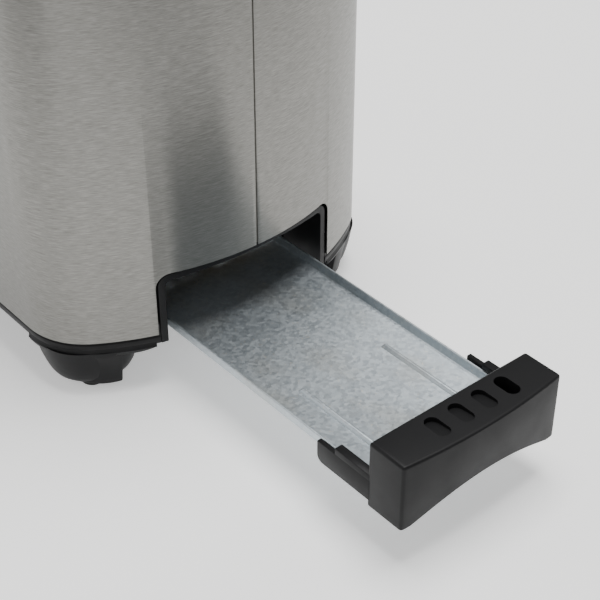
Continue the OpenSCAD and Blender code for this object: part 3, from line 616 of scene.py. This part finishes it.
def base():
    """One moulding: floor, skirt, inner lip, surround, corner tiers and feet."""
    lip = STEEL_Z + 5.5
    skirt = [(3.4, SKIRT_Z + 2.5), (3.4, STEEL_Z - 2.2), (2.6, lip), (0.95, lip),
             (0.95, STEEL_Z - 1.2), (0.7, STEEL_Z - 1.4), (0.55, STEEL_Z - 2.0),
             (0.75, SKIRT_Z + 1.6), (1.3, SKIRT_Z + 0.9), (2.2, SKIRT_Z + 0.3), (3.4, SKIRT_Z + 0.1),
             (3.4, SKIRT_Z + 2.5)]
    moulding = girth("base", skirt, LIP_W - 0.5, 0)
    mirrored(moulding, "Y")
    outwards(moulding)
    smooth(moulding, 50)

    floor_plate = girth("floor_plate", [(3.2, SKIRT_Z + 0.2), (3.2, SKIRT_Z + 2.5)], 0, 0)
    mirrored(floor_plate, "Y")
    for level in (SKIRT_Z + 0.2, SKIRT_Z + 2.5):
        pick(floor_plate, "edges", lambda ends: all(abs(e.z - level) < 0.01 for e in ends))
        bpy.ops.mesh.edge_face_add()
        leave()
    outwards(floor_plate)
    cut(floor_plate, block("handle_notch", (GRIP_IN, -TUNNEL_W, 0), (HALF_L + 9, TUNNEL_W, 60)))
    for side in (-1, 1):
        cut(floor_plate, block("prong_slot", (GRIP_IN - PRONG_L, side * PRONG_Y - 1.75, 0),
                               (GRIP_IN + 2, side * PRONG_Y + 1.85, 60)))
    gland = (low("cord_gland") + high("cord_gland")) / 2
    cut(floor_plate, drum("gland_hole", 6, (gland.x, gland.y, 0), (gland.x, gland.y, 60)))
    soften(floor_plate, 0.3, 2, 50)

    rails = []
    for side in (-1, 1):
        inner, outer = side * 44.2 - 0.8, side * 44.2 + 0.8
        rail = block("rail", (-74, inner, SKIRT_Z + 2), (82, outer, SKIRT_Z + 7))
        soften(rail, 0.4, 2)
        rails.append(rail)
    pedestal = block("pedestal", (-89, -13, SKIRT_Z + 2), (-77, 13, 40))
    soften(pedestal, 0.6, 2)
    corners = []
    for first in (foot(), corner_tier()):
        corners += [first] + [copy_of(first, "corner", flip) for flip in ("X", "Y", "XY")]
    for made in corners:
        smooth(made, 45)
    whole = join(moulding, floor_plate, surround(), pedestal, *rails, *corners)
    wear(whole, PLASTIC, "chassis", "black_plastic", "base_moulding")


def rubber_pads():
    for node in ("tray_left", "tray_right", "lever_left", "lever_right"):
        name = "rubber_foot_" + node
        a, b = low(name), high(name)
        middle = (a + b) / 2
        pad = drum("pad_" + node, 5.8, (middle.x, middle.y, 0), (middle.x, middle.y, 2.4), 40)
        stem = drum("stem", 2.4, (middle.x, middle.y, 1.9), (middle.x, middle.y, 6), 24)
        soften(pad, 0.7, 3)
        join(pad, stem)
        smooth(pad)
        wear(pad, RUBBER, "chassis", "rubber", name)


# ---------------------------------------------------------------- crumb tray and its handle


def crumb_tray():
    """Folded sheet: floor, upright sides with rolled rims, low ends and two pressed ribs."""
    a, b = low("crumb_tray"), high("crumb_tray")
    floor_z = RIM_Z - 5.0
    half = b.y
    rolled = [(half - 0.65 + 0.65 * math.cos(t), RIM_Z - 0.65 + 0.65 * math.sin(t))
              for t in [math.radians(d) for d in range(180, -91, -30)]]
    side = [(0, floor_z), (half - 2.2, floor_z), (half - 1.5, floor_z + 0.25),
            (half - 1.2, floor_z + 0.9)] + rolled + [(half - 0.65, RIM_Z - 1.3),
            (half - 0.55, floor_z + 0.7), (half - 1.0, floor_z - 0.5), (half - 2.0, floor_z - 0.8),
            (0, floor_z - 0.8)]
    points = [(a.x, y, z) for y, z in side]
    pan = start_at("crumb_tray_pan", points[0])
    draw(points)
    bpy.ops.mesh.extrude_region_move(TRANSFORM_OT_translate={"value": ((b.x - a.x) * MM, 0, 0)})
    leave()
    for end in (a.x, b.x):
        pick(pan, "edges", lambda ends: all(abs(e.x - end) < 0.01 for e in ends))
        bpy.ops.mesh.edge_face_add()
        leave()
    mirrored(pan, "Y")
    outwards(pan)
    parts = []
    for x in (a.x, b.x - 0.8):
        end_wall = block("tray_end", (x, -half + 1, floor_z - 0.4), (x + 0.8, half - 1, RIM_Z - 0.5))
        soften(end_wall, 0.25, 2)
        parts.append(end_wall)
    for y in (-25, 25):
        rib = block("rib", (b.x - 67, y - 2, floor_z - 0.4), (b.x - 2, y + 2, floor_z + 1.6))
        pick(rib, "polygons", lambda ends: all(e.z > floor_z + 1 for e in ends))
        bpy.ops.transform.resize(value=(0.95, 0.3, 1),
                                 center_override=Vector((b.x - 34, y, floor_z)) * MM)
        leave()
        soften(rib, 0.5, 3, 20)
        parts.append(rib)
    smooth(pan, 40)
    join(pan, *parts)
    wear(pan, GALVANISED, "tray", "galvanised_steel", "crumb_tray")


def prong(x0, x1, side):
    """A guide prong beside the tray, with a wider step that laps over the tray's rim."""
    z, y = RIM_Z - 10, side * PRONG_Y
    plate = block("prong", (x0, y - 1.25, z), (x1, y + 1.25, z + 11))
    pick(plate, "edges", lambda ends: all(e.x < x0 + 0.1 and e.z < z + 0.1 for e in ends))
    bpy.ops.mesh.bevel(offset=3.6 * MM, segments=6, affect="EDGES")
    leave()
    soften(plate, 0.45, 2, 40)
    step = block("prong_step", (x0 + 11, min(side * 41.6, side * 45.9), z + 8),
                 (x1, max(side * 41.6, side * 45.9), z + 14))
    under = block("rim_room", (x0 + 9, min(side * 41, side * 43.2), z + 7),
                  (x1 + 1, max(side * 41, side * 43.2), z + 11))
    cut(step, under)
    soften(step, 0.5, 2, 40)
    return join(plate, step)


def tray_handle():
    """The moulded grip: bowed front, arched underside, four finger dimples and two prongs."""
    a, b = low("tray_handle"), high("tray_handle")
    back, crown = a.x + PRONG_L, 3.2
    dimple_pitch = 13.6
    front = b.x - crown
    half = TUNNEL_W - 0.9
    span, arch = half - 4.2, 9.5
    grip = block("tray_grip", (back, -half, a.z), (front, half, b.z))
    pick(grip, "edges", lambda ends: abs(ends[0].y - ends[1].y) > half)
    bpy.ops.mesh.subdivide(number_cuts=35)
    leave()
    apply(grip, "BEVEL", width=1.4 * MM, segments=5, limit_method="ANGLE",
          angle_limit=math.radians(50))
    for vertex in grip.data.vertices:
        x, y, z = vertex.co / MM
        forward = min(1.0, max(0.0, (x - back) / (front - back)))
        down = min(1.0, max(0.0, (b.z - z) / (b.z - a.z)))
        vertex.co.x = (x + forward * crown * (1 - (y / half) ** 2)) * MM
        vertex.co.z = (z + down * arch * max(0.0, 1 - (y / span) ** 2) ** 1.1) * MM
    outwards(grip)
    for k in range(4):
        y = 2.4 + dimple_pitch * (k - 1.5)
        middle = back + 10.75
        depth = 8.0 if k == 3 else 2.4
        pocket = drum("pocket", 3.5, (middle - 3, y, b.z - depth), (middle - 3, y, b.z + 5), 32)
        pick(pocket, "vertices", lambda ends: ends[0].x > middle - 2.95)
        bpy.ops.transform.translate(value=(6 * MM, 0, 0))
        leave()
        if k < 3:
            # the floor of a shallow dimple rises towards the front
            pick(pocket, "vertices", lambda ends: ends[0].z < b.z - 1)
            leave()
            for vertex in pocket.data.vertices:
                if vertex.select:
                    ahead = (vertex.co.x / MM - middle + 6.5) / 13
                    vertex.co.z += 1.5 * ahead * MM
        cut(grip, pocket)
    smooth(grip, 35)
    prongs = [prong(a.x, back + 1.5, side) for side in (-1, 1)]
    join(grip, *prongs)
    smooth(grip, 35)
    wear(grip, HANDLE_PLASTIC, "tray", "black_plastic", "tray_handle")


# ---------------------------------------------------------------- top


def top_cover():
    """The black crown of the body: a rounded shoulder and a sunk bed for the slot plate."""
    shoulder = [(2.4, COVER_Z - 8), (0.95, COVER_Z - 8), (0.95, COVER_Z), (0.35, COVER_Z),
                (0.35, TOP_Z - 5.5)]
    shoulder += [(0.35 + 5.5 * (1 - math.cos(t)), TOP_Z - 5.5 + 5.5 * math.sin(t))
                 for t in [math.radians(d) for d in range(10, 91, 10)]]
    cover = girth("top_crown", shoulder, 0, 0)
    mirrored(cover, "Y")
    pick(cover, "edges", lambda ends: all(abs(e.z - TOP_Z) < 0.01 for e in ends))
    bpy.ops.mesh.edge_face_add()
    leave()
    outwards(cover)
    a, b = low("slot_plate"), high("slot_plate")
    cut(cover, block("bed", (a.x, a.y, TOP_Z - 1.2), (b.x, b.y, TOP_Z + 5)))
    for side in (-1, 1):
        near, far = side * SLOT_Y - SLOT_HALF_W - 1, side * SLOT_Y + SLOT_HALF_W + 1
        cut(cover, block("slot_hole", (a.x + 7, near, 0), (b.x - 7, far, TOP_Z + 9)))
    soften(cover, 0.3, 2, 50)
    wear(cover, PLASTIC, "chassis", "black_plastic", "top_cover")


def slot_plate():
    """The bright plate round the slots, each slot lined by a collar."""
    a, b = low("slot_plate"), high("slot_plate")
    plate = block("slot_trim", (a.x + 0.1, a.y + 0.1, TOP_Z - 1.2), (b.x - 0.1, b.y - 0.1, TOP_Z - 0.2))
    for side in (-1, 1):
        near, far = side * SLOT_Y - SLOT_HALF_W, side * SLOT_Y + SLOT_HALF_W
        collar = block("collar", (a.x + 7, near - 1, a.z), (b.x - 7, far + 1, TOP_Z))
        cut(plate, collar, "UNION")
    for side in (-1, 1):
        near, far = side * SLOT_Y - SLOT_HALF_W, side * SLOT_Y + SLOT_HALF_W
        hole = block("hole", (a.x + 8, near, 0), (b.x - 8, far, TOP_Z + 20))
        pick(hole, "edges", lambda ends: abs(ends[0].z - ends[1].z) > 10)
        bpy.ops.mesh.bevel(offset=2.5 * MM, segments=5, affect="EDGES")
        leave()
        cut(plate, hole)
    soften(plate, 0.35, 3, 50)
    wear(plate, TOP_STEEL, "chassis", "brushed_steel", "slot_plate")


# ---------------------------------------------------------------- lever end


def print_bar(parts, x, y, z, dy, dz):
    """A printed mark: a thin raised bar standing just proud of the fascia."""
    bar = block("print_bar", (x, y - dy / 2, z - dz / 2), (x + 0.7, y + dy / 2, z + dz / 2))
    parts.append(bar)


def control_fascia():
    """The bowed black panel of the lever end, with its slot, button holes and printed marks."""
    thick, z0, z1 = 2.5, STEEL_Z, COVER_Z
    angle = math.asin((FASCIA_W - 0.1) / BOW_R)
    points = [((-BOW_X - r * math.cos(angle)), r * math.sin(angle), z) for r, z in (
        (BOW_R, z0), (BOW_R, z1), (BOW_R - thick, z1), (BOW_R - thick, z0), (BOW_R, z0))]
    panel = start_at("control_fascia_panel", points[0])
    draw(points)
    turn(2 * angle, 60, (-BOW_X, 0, 0))
    bpy.ops.mesh.select_all(action="SELECT")
    bpy.ops.mesh.remove_doubles(threshold=0.01 * MM)
    bpy.ops.mesh.select_all(action="DESELECT")
    bpy.ops.mesh.select_non_manifold()
    bpy.ops.mesh.edge_face_add()
    leave()
    outwards(panel)
    knob_a, knob_b = low("lever_knob"), high("lever_knob")
    lever_y = (knob_a.y + knob_b.y) / 2
    tongue = (knob_a.z + 5, knob_b.z - 4)
    holes = [((lever_y - 4.5, tongue[0] - LEVER_TRAVEL - 3), (lever_y + 4.5, tongue[1] + 3), 1.5)]
    for button in BUTTONS:
        a, b = low(button), high(button)
        holes.append(((a.y + 1.2, a.z + 1.2), (b.y - 1.2, b.z - 1.2), 1.2))
    for (y0, h0), (y1, h1), corner in holes:
        hole = block("hole", (-HALF_L - 9, y0, h0), (-HALF_L + 20, y1, h1))
        pick(hole, "edges", lambda ends: abs(ends[0].x - ends[1].x) > 5)
        bpy.ops.mesh.bevel(offset=corner * MM, segments=4, affect="EDGES")
        leave()
        cut(panel, hole)
        if y1 - y0 < 10:
            continue
        lens = drum("lamp_hole", 1.5, (-HALF_L - 9, -1.5, (h0 + h1) / 2),
                    (-HALF_L + 20, -1.5, (h0 + h1) / 2), 24)
        cut(panel, lens)
    knob = (low("browning_knob") + high("browning_knob")) / 2
    cut(panel, drum("shaft_hole", 4, (-HALF_L - 9, knob.y, knob.z), (-HALF_L + 20, knob.y, knob.z), 32))
    soften(panel, 0.3, 3, 50)
    wear(panel, PLASTIC, "chassis", "black_plastic", "control_fascia")

    # printed dial ticks round the knob and a bar beside each button; no words
    marks = []
    for step in range(7):
        turned = math.radians(-135 + 45 * step)
        y, z = knob.y + 18.5 * math.sin(turned), knob.z + 18.5 * math.cos(turned)
        tick = block("tick", (-bow_x(y) - 0.1, y - 0.35, z - 1.6), (-bow_x(y) + 0.7, y + 0.35, z + 1.6))
        pick(tick, "vertices", lambda ends: True)
        bpy.ops.transform.rotate(value=turned, orient_axis="X",
                                 center_override=Vector((-HALF_L, y, z)) * MM)
        leave()
        marks.append(tick)
    for button in BUTTONS:
        middle = (low(button) + high(button)) / 2
        print_bar(marks, -bow_x(-27.5) - 0.1, -27.5, middle.z, 6, 0.7)
    marks = join(*marks)
    wear(marks, PRINT, "chassis", "black_plastic")


def knobs():
    """Browning knob, lever knob and the four buttons, all rounded mouldings."""
    a, b = low("browning_knob"), high("browning_knob")
    y, z = (a.y + b.y) / 2, (a.z + b.z) / 2
    knob = drum("browning_dial", 15, (b.x - 4, y, z), (b.x, y, z), 72)
    crown = drum("dial_crown", 14, (a.x + 1, y, z), (b.x - 3, y, z), 72)
    soften(knob, 0.8, 3, 40)
    soften(crown, 1.4, 4, 40)
    parts = [crown]
    for k in range(36):
        turned = 2 * math.pi * k / 36
        cy, cz = y + 14 * math.cos(turned), z + 14 * math.sin(turned)
        rib = drum("grip_rib", 0.45, (a.x + 3, cy, cz), (b.x - 4.2, cy, cz), 10)
        smooth(rib)
        parts.append(rib)
    pointer = block("pointer", (a.x, y - 0.9, z + 2), (a.x + 2, y + 0.9, z + 11))
    soften(pointer, 0.4, 2)
    parts.append(pointer)
    join(knob, *parts)
    smooth(knob, 40)
    wear(knob, HANDLE_PLASTIC, "browning_dial", "black_plastic", "browning_knob")

    a, b = low("lever_knob"), high("lever_knob")
    grip = block("lever_grip", (a.x, a.y, a.z), (b.x, b.y, b.z))
    pick(grip, "vertices", lambda ends: ends[0].x < a.x + 1)
    bpy.ops.transform.resize(value=(1, 0.86, 0.62), center_override=Vector(
        (a.x, (a.y + b.y) / 2, (a.z + b.z) / 2)) * MM)
    leave()
    soften(grip, 2.2, 5, 30)
    wear(grip, HANDLE_PLASTIC, "carriage", "black_plastic", "lever_knob")

    for button in BUTTONS:
        a, b = low(button), high(button)
        cap = block(button + "_cap", (a.x, a.y + 1.5, a.z + 1.5), (b.x - 6, b.y - 1.5, b.z - 1.5))
        soften(cap, 1.0, 4, 30)
        flange = block("flange", (b.x - 12.6, a.y, a.z), (b.x - 11.4, b.y, b.z))
        soften(flange, 0.3, 2)
        stem = drum("stem", 2, (b.x - 11, (a.y + b.y) / 2, (a.z + b.z) / 2),
                    (b.x, (a.y + b.y) / 2, (a.z + b.z) / 2), 24)
        join(cap, flange, stem)
        smooth(cap, 40)
        wear(cap, BUTTON_PLASTIC, button, "button_plastic", button)


# ---------------------------------------------------------------- stage and lights


def studio():
    # a pale plain floor wide enough to fill the view
    deselect()
    bpy.ops.mesh.primitive_plane_add(size=60, location=(0, 0, 0))
    floor = bpy.context.object
    floor.name = "floor"
    paper, _ = finish_named("pale_paper", Base_Color=colour("#f4f4f3"), Roughness=0.9,
                            Emission_Color=colour("#ffffff"), Emission_Strength=0.5)
    floor.data.materials.append(paper)
    world = bpy.data.worlds.new("studio")
    bpy.context.scene.world = world
    world.use_nodes = True
    world.node_tree.nodes["Background"].inputs["Color"].default_value = (1, 1, 1, 1)
    world.node_tree.nodes["Background"].inputs["Strength"].default_value = 0.3
    for name, place, size, power in (
            ("overhead", (0.1, 0.2, 1.6), 0.9, 30),
            ("front_box", (1.5, -1.2, 0.9), 1.1, 4.5),
            ("left_box", (-0.9, -1.3, 0.8), 1.0, 5),
            ("right_box", (0.35, 1.6, 0.8), 1.0, 4)):
        data = bpy.data.lights.new(name, "AREA")
        data.shape = "SQUARE"
        data.size = size
        data.energy = power
        lamp = bpy.data.objects.new(name, data)
        bpy.context.scene.collection.objects.link(lamp)
        lamp.location = place
        aim = Vector((0.15, 0, 0.05)) - Vector(place)
        lamp.rotation_euler = aim.to_track_quat("-Z", "Y").to_euler()


steel_wraps()
base()
rubber_pads()
crumb_tray()
tray_handle()
control_fascia()
knobs()
top_cover()
slot_plate()
studio()
